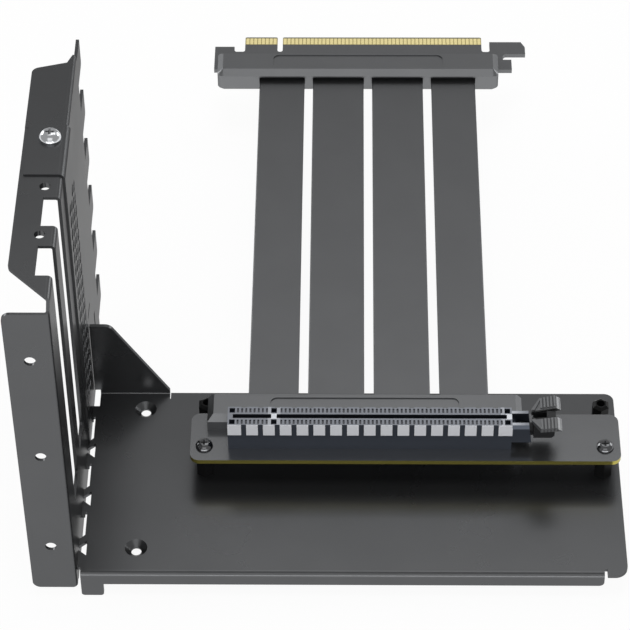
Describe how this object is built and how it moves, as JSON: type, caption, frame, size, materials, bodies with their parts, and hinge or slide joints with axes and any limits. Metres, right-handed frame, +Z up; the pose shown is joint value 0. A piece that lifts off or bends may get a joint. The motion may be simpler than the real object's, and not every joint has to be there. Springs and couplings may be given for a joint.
{
  "type": "vertical gpu mount",
  "caption": "Sheet-metal frame that turns a graphics card upright in a computer case, with a card slot board and flat riser cables to an edge plug.",
  "frame": {"origin": "centre of the middle case-screw hole, on the case flange's front face", "axes": "+Z up along the flange, +Y into the case along the open card slots, +X over the base plate"},
  "size_m": [0.1835, 0.2377, 0.1296],
  "materials": {
    "black_steel": "satin black powder coat",
    "bright_screw": "bright zinc",
    "dark_steel": "black oxide",
    "board": "matt black solder mask",
    "slot_plastic": "satin moulded",
    "latch_plastic": "satin moulded",
    "shell_plastic": "satin moulded",
    "cable_jacket": "satin flat cable jacket",
    "gold": "gold plated"
  },
  "bodies": {
    "mount": {"slot_bracket": "black_steel", "vent_plate": "black_steel", "bracket_screw": "bright_screw", "base_plate": "black_steel", "standoff_front_left": "dark_steel", "standoff_front_right": "dark_steel", "standoff_rear_left": "dark_steel", "standoff_rear_right": "dark_steel", "board_screw_left": "dark_steel", "board_screw_right": "dark_steel", "slot_board": "board", "slot_housing": "slot_plastic", "slot_cover_top": "shell_plastic", "slot_cover_bottom": "shell_plastic", "slot_cover_screws": "dark_steel", "plug_cover_top": "shell_plastic", "plug_cover_bottom": "shell_plastic", "plug_cover_screws": "dark_steel", "ribbon_cable_1": "cable_jacket", "ribbon_cable_2": "cable_jacket", "ribbon_cable_3": "cable_jacket", "ribbon_cable_4": "cable_jacket", "plug_board": "board", "plug_fingers": "gold"},
    "latch": {"slot_latch": "latch_plastic"}
  },
  "joints": [
    {"name": "latch_hinge", "type": "hinge", "parent": "mount", "child": "latch", "pos_m": [0.1448, 0.04575, -0.037], "axis": [0, 1, 0], "range_deg": [0, 20]}
  ]
}
